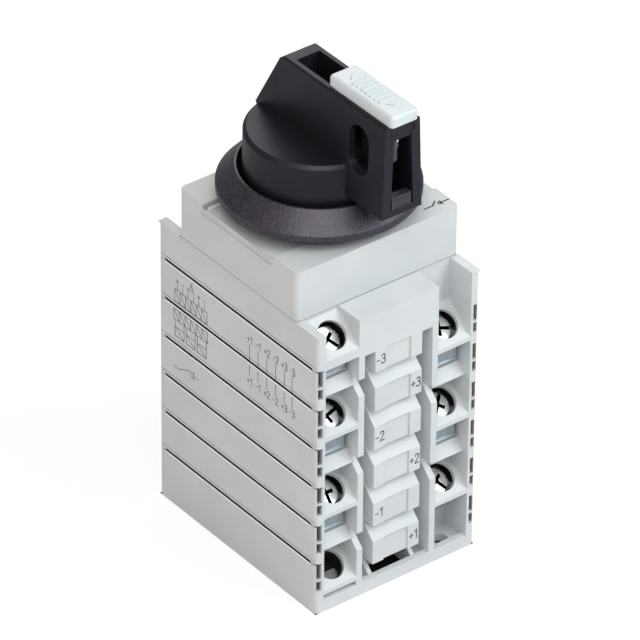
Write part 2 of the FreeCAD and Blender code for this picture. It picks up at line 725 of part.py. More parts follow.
def stack_screws():
    """The two through-bolts, as a group of equal bolts."""
    bolts = []
    length = (shoulder_top + S.plate_thick + S.clamp_thick - S.bolt_head_sink).value
    for x, y in bolt_places():
        place = Vector(x.value, y.value, S.bolt_head_sink.value)
        shank = Part.makeCylinder(S.bolt_radius.value, length, place)
        head = Part.makeCylinder(S.bolt_head_radius.value, S.bolt_head_height.value, place)
        bolts.append(shank.fuse(head).removeSplitter())
    return group("stack_screws", bolts)


def group(name, solids):
    """Equal solids that share one node."""
    feature = doc.addObject("Part::Feature", name)
    feature.Label = name
    feature.Shape = Part.makeCompound(solids)
    return feature


# Contacts, clamps and terminal screws
def fixed_contact(pole, t):
    """Bent copper strip: a tab under the clamp, a flat run and a toe in the chamber."""
    mark = "front" if t > 0 else "back"
    body = new_body(f"fixed_contact_{pole + 1}_{mark}")
    low = seam(pole) - S.contact_drop
    high = low + S.contact_thick
    foot_y, foot_z = down_axis(pole, t, S.tab_depth + S.contact_thick, -S.clamp_half)
    head_y, head_z = down_axis(pole, t, S.tab_depth + S.contact_thick, S.clamp_half)
    top_y, top_z = down_axis(pole, t, S.tab_depth, S.clamp_half)
    edge_y, edge_z = down_axis(pole, t, S.tab_depth, -S.clamp_half)
    section = [(edge_y, edge_z), (edge_y, low), (-t * S.contact_reach, low),
               (-t * S.contact_reach, high), (foot_y + t * S.contact_thick, high),
               (head_y, head_z), (top_y, top_z)]
    x = terminal_range(screw_side(pole), t, S.contact_half)
    prism(body, "strip", "YZ", section, x[0], x[1])
    side = t * screw_side(pole)
    toe = ordered(side * S.contact_toe, side * (S.terminal_centre - S.contact_half + S.fit_gap))
    block(body, "toe", toe, turned(t, -S.contact_toe_back, -S.contact_reach), (low, high))
    centre = t * screw_side(pole) * S.terminal_centre
    slanted_hole(body, "hole", t, centre, -t * (half_depth - S.bay_depth / 2), slope_centre(pole),
                 S.screw_radius + S.fit_gap, S.tab_depth + 2 * S.contact_thick)
    return body


def wire_clamp(pole, t):
    """The square pressure plate under a terminal screw's head."""
    mark = "front" if t > 0 else "back"
    body = new_body(f"wire_clamp_{pole + 1}_{mark}")
    top = S.head_depth + S.head_height
    section = [down_axis(pole, t, top, -S.clamp_half), down_axis(pole, t, top, S.clamp_half),
               down_axis(pole, t, top + S.clamp_thick, S.clamp_half),
               down_axis(pole, t, top + S.clamp_thick, -S.clamp_half)]
    x = terminal_range(screw_side(pole), t, S.contact_half)
    prism(body, "plate", "YZ", section, x[0], x[1])
    centre = t * screw_side(pole) * S.terminal_centre
    slanted_hole(body, "hole", t, centre, -t * (half_depth - S.bay_depth / 2), slope_centre(pole),
                 S.screw_radius + S.fit_gap, top + 2 * S.clamp_thick)
    return body


def terminal_screws():
    """Twelve equal screws with a slot and a cross, each square to its own screw face."""
    master = new_body("terminal_screw_master")
    revolve(master, "turned", [(0, -S.screw_length), (S.screw_radius, -S.screw_length),
                               (S.screw_radius, -S.head_depth - S.head_height),
                               (S.head_radius, -S.head_depth - S.head_height),
                               (S.head_radius, -S.head_depth), (0, -S.head_depth)])
    slot = (-S.slot_width / 2, S.slot_width / 2)
    deep = (-S.head_depth - S.slot_depth, -S.head_depth)
    block(master, "slot", slot, (-S.head_radius, S.head_radius), deep, cut=True)
    block(master, "cross", (-S.cross_half, S.cross_half), slot, deep, cut=True)
    doc.recompute()
    screws = []
    for pole in range(POLES):
        for t in (1, -1):
            place = Vector(t * screw_side(pole) * S.terminal_centre.value,
                           -t * (half_depth - S.bay_depth / 2).value, slope_centre(pole).value)
            turn = Rotation(Vector(1, 0, 0), t * slope_angle.value)
            twist = Rotation(Vector(0, 0, 1), 35.0 * (pole + 1) + 90.0 * (t < 0))
            screw = master.Shape.copy()
            screw.Placement = Placement(place, turn.multiply(twist))
            screws.append(screw)
    return group("terminal_screws", screws), master


# Rotor stack
def rotor(pole):
    """Insulating rotor: a disc with a cross slot for its blades, a dog above and a socket below."""
    body = new_body(f"rotor_{pole + 1}")
    low = seam(pole) - S.chamber_depth + S.fit_gap
    high = low + S.rotor_height
    drum(body, "disc", [(0, 0, S.rotor_radius)], low, high)
    blade_low, blade_high = blade_heights(pole)
    reach = S.rotor_radius + S.fit_gap
    block(body, "blade_slot", (-reach, reach), (-S.blade_half - S.fit_gap, S.blade_half + S.fit_gap),
          (blade_low - S.fit_gap, blade_high + S.fit_gap), cut=True)
    dog = S.dog_side / 2
    next_floor = seam(pole) + (S.deck_pitch - S.chamber_depth) + S.fit_gap
    block(body, "dog", (-dog, dog), (-dog, dog), (high, next_floor + S.dog_grip))
    if pole < POLES - 1:
        socket = dog + S.fit_gap
        block(body, "socket", (-socket, socket), (-socket, socket),
              (low, low + S.dog_grip + S.fit_gap), cut=True)
    return turn_about_shaft(body, blade_angle(pole))


def blade_heights(pole):
    low = seam(pole) - S.contact_drop - S.fit_gap - S.blade_thick
    return low, low + 2 * S.blade_thick + S.contact_thick + 2 * S.fit_gap


def blade_angle(pole):
    """Direction of a pole's blades when the switch is off: across its two fixed contacts."""
    return 45.0 if screw_side(pole) > 0 else 135.0


def turn_about_shaft(body, degrees):
    body.Placement = Placement(Vector(0, 0, 0), Rotation(Vector(0, 0, 1), degrees))
    return body


def moving_contact(pole):
    """Two copper leaves held apart by a bridge, to grip both fixed contacts."""
    name = f"moving_contact_{pole + 1}"
    low, high = blade_heights(pole)
    length = S.blade_radius * 2
    pieces = []
    spans = (("upper", length, high - S.blade_thick, S.blade_thick),
             ("lower", length, low, S.blade_thick),
             ("bridge", S.blade_bridge * 2, low, high - low))
    for word, run, z, tall in spans:
        leaf = doc.addObject("Part::Box", f"{name}_{word}")
        leaf.setExpression("Length", run.formula)
        leaf.setExpression("Width", (S.blade_half * 2).formula)
        leaf.setExpression("Height", tall.formula)
        leaf.setExpression("Placement.Base.x", (-run / 2).formula)
        leaf.setExpression("Placement.Base.y", (-S.blade_half).formula)
        leaf.setExpression("Placement.Base.z", z.formula)
        pieces.append(leaf)
    joined = doc.addObject("Part::MultiFuse", f"{name}_joined")
    joined.Shapes = pieces
    joined.Refine = True
    outline = doc.addObject("Part::Cylinder", f"{name}_outline")
    outline.setExpression("Radius", S.blade_radius.formula)
    outline.setExpression("Height", (high - low).formula)
    outline.setExpression("Placement.Base.z", low.formula)
    contact = doc.addObject("Part::Common", name)
    contact.Base = joined
    contact.Tool = outline
    contact.Label = name
    return turn_about_shaft(contact, blade_angle(pole))


def drive_carrier():
    """The disc in the shoulder that turns the top rotor and carries the snap spring."""
    body = new_body("drive_carrier")
    low = seam(0) + (S.deck_pitch - S.chamber_depth) + S.fit_gap
    high = low + S.carrier_height
    revolve(body, "disc", [(0, low), (S.carrier_radius, low), (S.carrier_radius, high),
                           (S.hub_radius, high), (S.hub_radius, hub_join), (0, hub_join)])
    socket = S.dog_side / 2 + S.fit_gap
    block(body, "socket", (-socket, socket), (-socket, socket), (low, low + S.dog_grip + S.fit_gap),
          cut=True)
    return turn_about_shaft(body, blade_angle(0))


def snap_spring():
    """The coil that throws the carrier over once the handle has passed its dead point."""
    low = seam(0) + (S.deck_pitch - S.chamber_depth) + S.fit_gap + S.carrier_height
    return coil("snap_spring", S.spring_radius, S.spring_wire, S.spring_pitch, S.spring_turns,
                Vector(0, 0, (low + S.spring_wire + S.fit_gap).value))


def coil(name, radius, wire, pitch, turns, place):
    """Square wire wound on a helix. The wire's size is half its width."""
    path = Part.makeHelix(pitch.value, pitch.value * turns.value, radius.value)
    start = path.Edges[0].valueAt(path.Edges[0].FirstParameter)
    tangent = path.Edges[0].tangentAt(path.Edges[0].FirstParameter)
    outward = Vector(1, 0, 0)
    upward = tangent.cross(outward)
    corners = ((-1, -1), (1, -1), (1, 1), (-1, 1), (-1, -1))
    ring = Part.makePolygon([start + (outward * a + upward * b) * wire.value for a, b in corners])
    solid = Part.Wire(path.Edges).makePipeShell([ring], True, True)
    feature = doc.addObject("Part::Feature", name)
    feature.Label = name
    feature.Shape = solid
    feature.Placement = Placement(place, Rotation())
    return feature


# Handle
def drive_spindle():
    """The spindle between the handle and the spring drive, square at the top."""
    body = new_body("drive_spindle")
    low = hub_join + S.fit_gap
    shoulder = drum_base - S.fit_gap
    drum(body, "round", [(0, 0, S.hub_radius)], low, shoulder)
    side = S.spindle_side / 2
    block(body, "square", (-side, side), (-side, side), (shoulder, drum_base + S.socket_height - S.fit_gap))
    drum(body, "thread", [(0, 0, S.handle_screw_radius)], shoulder,
         drum_base + S.socket_height, cut=True)
    return body


def handle_lever():
    """Drum and lever in one moulding, with the lock's cavity, its openings and the spindle socket."""
    body = new_body("handle_lever")
    front = -S.lever_front
    slope = (lever_back_foot - S.lever_back_top) / (lever_top - drum_top)
    foot = lever_back_foot
    inner_foot = -drum_top_radius / 2
    corner = S.lever_back_edge
    section = [(front, lever_bottom), (front, lever_top), (S.lever_back_top - corner, lever_top),
               (S.lever_back_top + slope * corner, lever_top - corner), (foot, drum_top),
               (foot - slope, drum_top - S.drum_edge), (foot - slope, lever_bottom),
               (inner_foot, lever_bottom)]
    half = S.lever_half_bottom
    prism(body, "lever", "YZ", section, -half, half)
    for side in (-1, 1):
        shoulder = side * (S.lever_half_top - S.lever_edge)
        wedge = [(shoulder, lever_top), (side * S.lever_half_top, lever_top - S.lever_edge),
                 (side * half, lever_bottom), (side * (half + 1), lever_bottom),
                 (side * (half + 1), lever_top + 1), (shoulder, lever_top + 1)]
        prism(body, f"draft{side + 1}", "XZ", wedge, front - 1, S.drum_radius + 1, cut=True)
    hollow_top = drum_base + S.drum_hollow
    inner = S.drum_radius - S.drum_wall
    revolve(body, "drum", [(0, drum_base), (S.socket_radius, drum_base), (S.socket_radius, hollow_top),
                           (inner, hollow_top), (inner, drum_base), (S.drum_radius, drum_base),
                           (drum_top_radius, drum_top - S.drum_edge),
                           (drum_top_radius - S.drum_edge, drum_top), (0, drum_top)])
    side = S.spindle_side / 2 + S.fit_gap
    block(body, "socket", (-side, side), (-side, side), (drum_base, drum_base + S.socket_height),
          cut=True)
    floor = lever_bottom + S.cavity_floor
    cavity = [(front + S.front_wall, floor), (front + S.front_wall, lever_top),
              (S.slot_back, lever_top), (S.slot_back, screw_land),
              (-S.cavity_step, screw_land), (-S.cavity_step, floor)]
    prism(body, "cavity", "YZ", cavity, -S.cavity_half, S.cavity_half, cut=True)
    window = [(-S.window_half_bottom, floor), (S.window_half_bottom, floor),
              (S.window_half_top, window_neck), (S.window_half_top, tee_bottom),
              (S.tee_half, tee_bottom), (S.tee_half, tee_top),
              (-S.tee_half, tee_top), (-S.tee_half, tee_bottom),
              (-S.window_half_top, tee_bottom), (-S.window_half_top, window_neck)]
    prism(body, "window", "XZ", window, front - S.fit_gap, front + S.front_wall, cut=True)
    lock_hole(body)
    tooth = S.tooth_half + S.running_gap
    block(body, "tooth_slot", (-tooth, tooth), (-tooth_front - S.running_gap, -tooth_back + S.running_gap),
          (lever_bottom, floor), cut=True)
    drum(body, "screw_head", [(0, 0, S.handle_head_radius + S.fit_gap)],
         screw_land - S.handle_head_height - 2 * S.fit_gap, screw_land, cut=True)
    drum(body, "screw_shank", [(0, 0, S.handle_screw_radius + S.fit_gap)], drum_base,
         screw_land, cut=True)
    return body


def lock_hole(body):
    """The obround hole for a padlock's shackle, through both sides of the lever."""
    sketch = new_sketch(body, "handle_lever_lock_hole", "YZ", -S.lever_half_bottom - S.fit_gap)
    y = -S.lock_hole_centre
    low = lock_hole_mid - S.lock_hole_straight / 2
    high = lock_hole_mid + S.lock_hole_straight / 2
    radius = S.lock_hole_half
    top = Part.ArcOfCircle(Part.Circle(Vector(y.value, high.value, 0), Vector(0, 0, 1), radius.value),
                           0, math.pi)
    foot = Part.ArcOfCircle(Part.Circle(Vector(y.value, low.value, 0), Vector(0, 0, 1), radius.value),
                            math.pi, 2 * math.pi)
    left = Part.LineSegment(Vector((y - radius).value, high.value, 0),
                            Vector((y - radius).value, low.value, 0))
    right = Part.LineSegment(Vector((y + radius).value, low.value, 0),
                             Vector((y + radius).value, high.value, 0))
    sketch.addGeometry([top, left, foot, right], False)
    for first, first_end, second, second_end in ((0, 2, 1, 1), (1, 2, 2, 1), (2, 2, 3, 1), (3, 2, 0, 1)):
        sketch.addConstraint(Sketcher.Constraint("Tangent", first, first_end, second, second_end))
    fix_point(sketch, 0, 3, y, high)
    fix_point(sketch, 2, 3, y, low)
    bound = sketch.addConstraint(Sketcher.Constraint("Radius", 0, radius.value))
    sketch.setExpression(f"Constraints[{bound}]", radius.formula)
    extrude(body, sketch, "YZ", 2 * (S.lever_half_bottom + S.fit_gap), cut=True)


def front_insert():
    """The small block that closes the foot of the lever's front window."""
    body = new_body("front_insert")
    floor = lever_bottom + S.cavity_floor
    block(body, "block", (-S.insert_half, S.insert_half),
          (-S.lever_front + S.fit_gap, -S.lever_front + S.insert_length),
          (floor, floor + S.insert_height))
    return body


def handle_screw():
    """The screw that pulls the handle on to its spindle."""
    body = new_body("handle_screw")
    head_low = screw_land - S.handle_head_height - S.fit_gap
    low = drum_base + S.fit_gap
    revolve(body, "turned", [(0, low), (S.handle_screw_radius, low), (S.handle_screw_radius, head_low),
                             (S.handle_head_radius, head_low),
                             (S.handle_head_radius, screw_land - S.fit_gap), (0, screw_land - S.fit_gap)])
    return body


# Padlock slide and pawl
def lock_slide():
    """The pale thumb slide on the lever's top, ribbed for grip, with a foot in the slot."""
    body = new_body("lock_slide")
    front = -S.lever_front - S.slide_overhang
    back = front + S.slide_length
    low = lever_top + S.slide_seat
    top = low + S.slide_rise
    block(body, "cap", (-S.slide_half, S.slide_half), (front, back), (low, top))
    fillet(body, "round", S.slide_round, lambda box: box.ZMax > low.value + 0.01)
    middle = front + S.slide_length / 2
    for number in range(-3, 4):
        y = middle + number * S.rib_spacing
        block(body, f"grip{number + 3}", (-S.grip_rib_half, S.grip_rib_half),
              (y - S.grip_rib_width / 2, y + S.grip_rib_width / 2), (top, top + S.grip_rib_rise))
    for side in (-1, 1):
        y = middle + side * 4 * S.rib_spacing
        arrow = [(-S.grip_arrow, y), (S.grip_arrow, y), (0, y + side * S.grip_arrow)]
        prism(body, f"arrow{side + 1}", "XY", arrow, top, top + S.grip_rib_rise)
    foot = S.cavity_half - 2 * S.fit_gap
    block(body, "foot", (-foot, foot), (-S.lever_front + S.front_wall + S.fit_gap, back - S.slide_round),
          (tee_top - S.fit_gap, low))
    return body


def slide_rail():
    """The dark rail under the slide: a tee that closes the window's head and a tongue behind it."""
    body = new_body("slide_rail")
    play = S.fit_gap
    front = -S.lever_front
    wall = front + S.front_wall
    half = S.cavity_half - 2 * play
    back = front - S.slide_overhang + S.slide_length - S.slide_round
    top = tee_top - play
    block(body, "rail", (-half, half), (wall + play, back), (tee_bottom + play, top))
    head = S.tee_half - 2 * play
    block(body, "head", (-head, head), (front + play, wall + 2 * play), (tee_bottom + play, top))
    neck = S.window_half_top - play
    block(body, "neck", (-neck, neck), (front + play, -S.tongue_front), (window_neck, tee_bottom + play))
    block(body, "tongue", (-S.tongue_half, S.tongue_half), (-S.tongue_front, -S.tongue_back),
          (tongue_foot, tee_bottom + play))
    return body


def lock_pawl():
    """The pawl that the tongue wedges down between the collar's lugs."""
    body = new_body("lock_pawl")
    floor = lever_bottom + S.cavity_floor
    low = floor + S.pawl_travel + 2 * S.fit_gap
    crest = tongue_foot - S.fit_gap
    section = [(-pawl_front, low), (-pawl_front, low + S.pawl_arm), (-S.tongue_back, low + S.pawl_arm),
               (-S.tongue_back, crest), (-S.pawl_back, crest + S.pawl_travel), (-S.pawl_back, low)]
    prism(body, "arm", "YZ", section, -S.pawl_half, S.pawl_half)
    block(body, "tooth", (-S.tooth_half, S.tooth_half), (-tooth_front, -tooth_back),
          (lever_bottom + S.fit_gap, low))
    drum(body, "spring_bore", [(0, -S.pawl_spring_centre, S.pawl_spring_radius + 3 * S.pawl_spring_wire)],
         low, low + S.pawl_arm, cut=True)
    return body


def pawl_spring():
    """The small coil that lifts the pawl again."""
    floor = lever_bottom + S.cavity_floor
    room = S.pawl_travel + 2 * S.fit_gap + S.pawl_arm - 2 * S.pawl_spring_wire - 2 * S.fit_gap
    pitch = room / S.pawl_spring_turns
    place = Vector(0, -S.pawl_spring_centre.value, (floor + S.pawl_spring_wire + S.fit_gap).value)
    return coil("pawl_spring", S.pawl_spring_radius, S.pawl_spring_wire, pitch, S.pawl_spring_turns, place)


# Build every piece
nodes = [base_housing(), top_deck_housing()]
for number in range(1, POLES):
    nodes.append(deck_housing(number))
nodes += [mechanism_housing(), mechanism_plate(), detent_ring(), collar(), stack_screws()]
for pole in range(POLES):
    for t in (1, -1):
        nodes.append(fixed_contact(pole, t))
        nodes.append(wire_clamp(pole, t))
    nodes.append(rotor(pole))
    nodes.append(moving_contact(pole))
screws, screw_master = terminal_screws()
nodes.append(screws)
nodes += [drive_carrier(), snap_spring(), drive_spindle(), handle_lever(), front_insert(),
          handle_screw(), lock_slide(), slide_rail(), lock_pawl(), pawl_spring()]

doc.recompute()
for item in doc.Objects:
    if "Invalid" in item.State or "Error" in item.State:
        raise RuntimeError(f"{item.Name} failed: {item.State}")
for node in nodes:
    if node.Shape.isNull() or not node.Shape.isValid():
        raise RuntimeError(f"{node.Label} has no sound shape")
for node in nodes:
    node.Shape.exportStep(f"parts/{node.Label}.step")
print(len(nodes), "nodes written")
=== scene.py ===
import math

import bmesh
import bpy
from mathutils import Matrix, Vector


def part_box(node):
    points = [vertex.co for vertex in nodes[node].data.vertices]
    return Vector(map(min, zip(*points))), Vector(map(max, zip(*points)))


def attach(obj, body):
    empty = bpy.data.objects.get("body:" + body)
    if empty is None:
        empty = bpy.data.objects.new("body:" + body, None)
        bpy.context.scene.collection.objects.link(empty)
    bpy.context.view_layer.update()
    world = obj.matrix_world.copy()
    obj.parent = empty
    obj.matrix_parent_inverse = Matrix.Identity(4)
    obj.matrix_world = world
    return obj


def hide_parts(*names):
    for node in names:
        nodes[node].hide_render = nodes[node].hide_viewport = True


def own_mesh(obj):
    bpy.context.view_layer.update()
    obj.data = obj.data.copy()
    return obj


# A base-mounted rotary isolator: grey moulded housings, a black lever and a pale padlock slide.
# Everything is in metres. X is the width, -Y the front with the numbered blocks, Z up the shaft.
MM = 0.001

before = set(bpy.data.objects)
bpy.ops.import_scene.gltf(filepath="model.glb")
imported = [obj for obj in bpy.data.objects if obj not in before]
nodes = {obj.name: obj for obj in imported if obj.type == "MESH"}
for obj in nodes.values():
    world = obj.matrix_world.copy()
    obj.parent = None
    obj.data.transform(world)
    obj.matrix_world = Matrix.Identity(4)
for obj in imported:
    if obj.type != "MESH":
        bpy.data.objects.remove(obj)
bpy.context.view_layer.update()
scene = bpy.context.scene


def place(node):
    """Lowest and highest corner of a node, as vectors."""
    low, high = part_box(node)
    return Vector(low), Vector(high)


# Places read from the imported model. LEFT and FRONT are the outer faces of the stack.
LEFT, FRONT = place("base_housing")[0][:2]
DECK_TOP = place("deck_housing_1")[1].z
DECK_PITCH = DECK_TOP - place("deck_housing_2")[1].z
head_low, head_high = place("mechanism_housing")

# The screw wells: height of the topmost mouth, its distances from the shaft, and its slope
WELL_HEIGHT = DECK_TOP + 6.6 * MM
WELL_REACH = 28.0 * MM
WELL_SIDE = 17.4 * MM
SLOPE = math.atan2(7.0, 8.6)
SLOPE_SIN, SLOPE_COS = math.sin(SLOPE), math.cos(SLOPE)
# The back edge of the channel across the head's top
CHANNEL_BACK = 14.2 * MM

# Painted shade that the housing's material puts in its wells, seams and slots, since the real
# gaps are finer than the model's.
# A well gets painted shade inside this half width and half length, between these depths under
# its slope. Wells and wing slots get painted shade between these heights.
WELL_HALF_WIDTH, WELL_HALF_LENGTH = 4.9 * MM, 4.3 * MM
WELL_SHADE = (1.3 * MM, 7.5 * MM)
HOLE_HEIGHTS = (4 * MM, DECK_TOP + 9 * MM)
# A terminal screw gets painted shade between these depths, in its slots and round its rim
SCREW_SHADE = (3.3 * MM, 6.0 * MM)
# A seam gets painted shade from just under a deck's top edge, and the edge under it gets a
# painted highlight. Both lie on the outer side walls between these heights, and end a little
# before the corners.
SEAM_START, SEAM_HEIGHT, RIM_HEIGHT = 0.2 * MM, 0.85 * MM, 0.4 * MM
SEAM_HEIGHTS = (10 * MM, DECK_TOP + 2 * MM)
SIDE_WALL, SEAM_END = 1.9 * MM, 2.45 * MM
# A slot of a side wing and its painted shade, from the outer faces inwards
SLOT_ACROSS, SLOT_BACK = (0.38 * MM, 1.77 * MM), (0.5 * MM, 3.3 * MM)
SLOT_FADE = 2.2 * MM
SLOT_DEEP, SLOT_MOUTH = 0.85, 0.3
# The head's top groove and the thin line at its foot, with how dark the painted shade in each is
GROOVE_WIDTH, GROOVE_DEPTHS, GROOVE_DARK = 1.6 * MM, (0.3 * MM, 1.0 * MM), 0.5
FOOT_HEIGHTS, FOOT_DARK = (0.48 * MM, 0.75 * MM), 0.45


# Colour and node helpers
def linear(code, alpha=1.0):
    """An sRGB hex colour as the linear values that shaders take."""
    parts = [int(code[i:i + 2], 16) / 255 for i in (1, 3, 5)]
    return tuple(p / 12.92 if p <= 0.04045 else ((p + 0.055) / 1.055) ** 2.4
                 for p in parts) + (alpha,)


def add(tree, kind, settings=None, **inputs):
    """Adds a node. Settings are its properties; inputs are values, or sockets to link from."""
    node = tree.nodes.new(kind)
    for name, value in (settings or {}).items():
        setattr(node, name, value)
    for name, value in inputs.items():
        slot = int(name[1:]) if name[1:].isdigit() else name.replace("_", " ")
        socket = node.inputs[slot]
        if isinstance(value, bpy.types.NodeSocket):
            tree.links.new(value, socket)
        else:
            socket.default_value = value
    return node


def blank_material(name):
    """A material with nothing in it but an output and the Object coordinates."""
    material = bpy.data.materials.new(name)
    material.use_nodes = True
    tree = material.node_tree
    tree.nodes.clear()
    output = add(tree, "ShaderNodeOutputMaterial")
    coords = add(tree, "ShaderNodeTexCoord")
    return material, tree, output, coords.outputs["Object"]


def colour_between(tree, factor, first, second):
    """Mixes two colours by a factor socket. Each is an sRGB hex code or a colour socket."""
    first, second = (linear(c) if isinstance(c, str) else c for c in (first, second))
    return add(tree, "ShaderNodeMix", {"data_type": "RGBA"}, _0=factor, _6=first,
               _7=second).outputs[2]


def spread(tree, value, low, high, to_low, to_high):
    """Maps one range of a value on to another, clamped."""
    return add(tree, "ShaderNodeMapRange", {"clamp": True}, Value=value, From_Min=low,
               From_Max=high, To_Min=to_low, To_Max=to_high).outputs[0]


def noise(tree, where, size, detail=3.0, rough=0.55):
    """Noise whose lumps are about as wide as size, in metres."""
    return add(tree, "ShaderNodeTexNoise", Vector=where, Scale=1 / size, Detail=detail,
               Roughness=rough).outputs["Fac"]


def calculate(tree, operation, first, second=0.0, third=0.0):
    """One step of arithmetic on sockets or numbers."""
    return add(tree, "ShaderNodeMath", {"operation": operation}, _0=first, _1=second,
               _2=third).outputs[0]


def between(tree, value, low, high):
    """1 where a value lies between two bounds, elsewhere 0."""
    return calculate(tree, "MULTIPLY", calculate(tree, "GREATER_THAN", value, low),
                     calculate(tree, "LESS_THAN", value, high))


# Painted shade and painted highlight on the housings
def well_place(tree, where):
    """Where a point lies in the nearest screw's own frame, and the point's own coordinates.

    The first three are its depth under the sloped face, and its distances along and across it.
    The wells repeat down the stack, one pole on each side in turn, and the back is the front
    turned half round, so every point is first brought to the topmost pole.
    """
    x, y, z = add(tree, "ShaderNodeSeparateXYZ", Vector=where).outputs[:3]
    turned_x = calculate(tree, "MULTIPLY", x, calculate(tree, "SIGN", y))
    odd = calculate(tree, "LESS_THAN", turned_x, 0.0)
    raised = calculate(tree, "MULTIPLY_ADD", odd, DECK_PITCH, z)
    rise = calculate(tree, "WRAP", calculate(tree, "SUBTRACT", raised, WELL_HEIGHT), DECK_PITCH,
                     -DECK_PITCH)
    inward = calculate(tree, "SUBTRACT", calculate(tree, "ABSOLUTE", y), WELL_REACH)
    depth = calculate(tree, "MULTIPLY_ADD", inward, -SLOPE_SIN,
                      calculate(tree, "MULTIPLY", rise, -SLOPE_COS))
    along = calculate(tree, "MULTIPLY_ADD", inward, SLOPE_COS,
                      calculate(tree, "MULTIPLY", rise, -SLOPE_SIN))
    aside = calculate(tree, "SUBTRACT", calculate(tree, "ABSOLUTE", x), WELL_SIDE)
    return depth, calculate(tree, "ABSOLUTE", along), calculate(tree, "ABSOLUTE", aside), x, y, z


def in_well(tree, depth, along, aside):
    """1 on the wall of a screw well, where painted shade goes."""
    mouth = calculate(tree, "MULTIPLY", calculate(tree, "LESS_THAN", aside, WELL_HALF_WIDTH),
                      calculate(tree, "LESS_THAN", along, WELL_HALF_LENGTH))
    return calculate(tree, "MULTIPLY", mouth, between(tree, depth, *WELL_SHADE))


def in_wing_slot(tree, out, back):
    """How dark the painted shade in a slot of a side wing is, darker towards its inner end."""
    slot = calculate(tree, "MULTIPLY",
                     between(tree, out, -LEFT - SLOT_ACROSS[1], -LEFT - SLOT_ACROSS[0]),
                     between(tree, back, -FRONT - SLOT_BACK[1], -FRONT - SLOT_BACK[0]))
    return calculate(tree, "MULTIPLY", slot,
                     spread(tree, back, -FRONT - SLOT_FADE, -FRONT - SLOT_BACK[0], SLOT_DEEP,
                            SLOT_MOUTH))


def seam_and_rim(tree, out, back, z):
    """Two masks on the side walls: painted shade in the seams between decks, and a painted
    highlight on the edge under each.
    """
    over_seam = calculate(tree, "WRAP", calculate(tree, "SUBTRACT", z, DECK_TOP - SEAM_START),
                          DECK_PITCH, 0.0)
    side = calculate(tree, "MULTIPLY",
                     calculate(tree, "MULTIPLY",
                               calculate(tree, "GREATER_THAN", out, -LEFT - SIDE_WALL),
                               calculate(tree, "LESS_THAN", back, -FRONT - SEAM_END)),
                     between(tree, z, *SEAM_HEIGHTS))
    seam = calculate(tree, "MULTIPLY", side,
                     calculate(tree, "LESS_THAN", over_seam, SEAM_HEIGHT))
    rim = calculate(tree, "MULTIPLY", side,
                    calculate(tree, "GREATER_THAN", over_seam, DECK_PITCH - RIM_HEIGHT))
    return seam, rim


def inside_housing(tree, where):
    """Two masks: painted shade in the screw wells, the seams, the slots of the wings and the
    head's top groove and foot, and a painted highlight on the decks' upper edges."""
    depth, along, aside, x, y, z = well_place(tree, where)
    out, back = (calculate(tree, "ABSOLUTE", v) for v in (x, y))
    holes = calculate(tree, "MULTIPLY",
                      calculate(tree, "MAXIMUM", in_well(tree, depth, along, aside),
                                in_wing_slot(tree, out, back)), between(tree, z, *HOLE_HEIGHTS))
    seam, rim = seam_and_rim(tree, out, back, z)
    groove = calculate(tree, "MULTIPLY",
                       between(tree, y, CHANNEL_BACK - GROOVE_WIDTH, CHANNEL_BACK),
                       between(tree, z, head_high.z - GROOVE_DEPTHS[1],
                               head_high.z - GROOVE_DEPTHS[0]))
    foot = calculate(tree, "MULTIPLY",
                     between(tree, z, head_low.z + FOOT_HEIGHTS[0], head_low.z + FOOT_HEIGHTS[1]),
                     calculate(tree, "LESS_THAN", back, -head_low.y + 0.1 * MM))
    faint = calculate(tree, "MULTIPLY_ADD", groove, GROOVE_DARK,
                      calculate(tree, "MULTIPLY", foot, FOOT_DARK))
    dark = calculate(tree, "MAXIMUM", calculate(tree, "MAXIMUM", holes, seam), faint)
    return dark, rim


def in_screw_recess(tree, where):
    """1 below the face of a terminal screw's head, in its slots and round its rim, where painted
    shade goes.
    """
    return between(tree, well_place(tree, where)[0], *SCREW_SHADE)


# Materials
def moulded_plastic(name, colour, shade, grain, grain_depth, roughness, edge, gleam=0.5,
                    gleam_tint="#ffffff", painted_sparkle=None, painted_hollow_shade=None):
    """Injection moulded plastic: spark-eroded grain, faint flow clouds and softly rounded edges."""
    material, tree, output, where = blank_material(name)
    clouds = noise(tree, where, 14 * MM, 2.0)
    tint = colour_between(tree, spread(tree, clouds, 0.35, 0.65, 0.0, 1.0), colour, shade)
    # Painted sparkle: lighter specks in the grain stand in for the glints of its highlights
    if painted_sparkle:
        painted_sparkle_specks = spread(tree, noise(tree, where, grain * 0.85, 2.0, 0.7), 0.5, 0.68, 0.0, 1.0)
        tint = colour_between(tree, painted_sparkle_specks, tint, painted_sparkle)
    # Painted shade in the housings' wells, seams, slots and head groove
    if painted_hollow_shade:
        dark, rim = inside_housing(tree, where)
        # Painted highlight: the decks' top edges are painted white
        tint = colour_between(tree, rim, tint, "#ffffff")
        tint = colour_between(tree, dark, tint, painted_hollow_shade)
    grain_height = noise(tree, where, grain, 2.0, 0.6)
    gloss = spread(tree, clouds, 0.3, 0.7, roughness - 0.03, roughness + 0.03)
    rounded = add(tree, "ShaderNodeBevel", {"samples": 6}, Radius=edge).outputs[0]
    bump = add(tree, "ShaderNodeBump", Strength=0.6, Distance=grain_depth, Height=grain_height,
               Normal=rounded).outputs[0]
    shader = add(tree, "ShaderNodeBsdfPrincipled", Base_Color=tint, Roughness=gloss, IOR=1.53,
                 Normal=bump)
    shader.inputs["Specular IOR Level"].default_value = gleam
    shader.inputs["Specular Tint"].default_value = linear(gleam_tint)
    tree.links.new(shader.outputs[0], output.inputs[0])
    return material


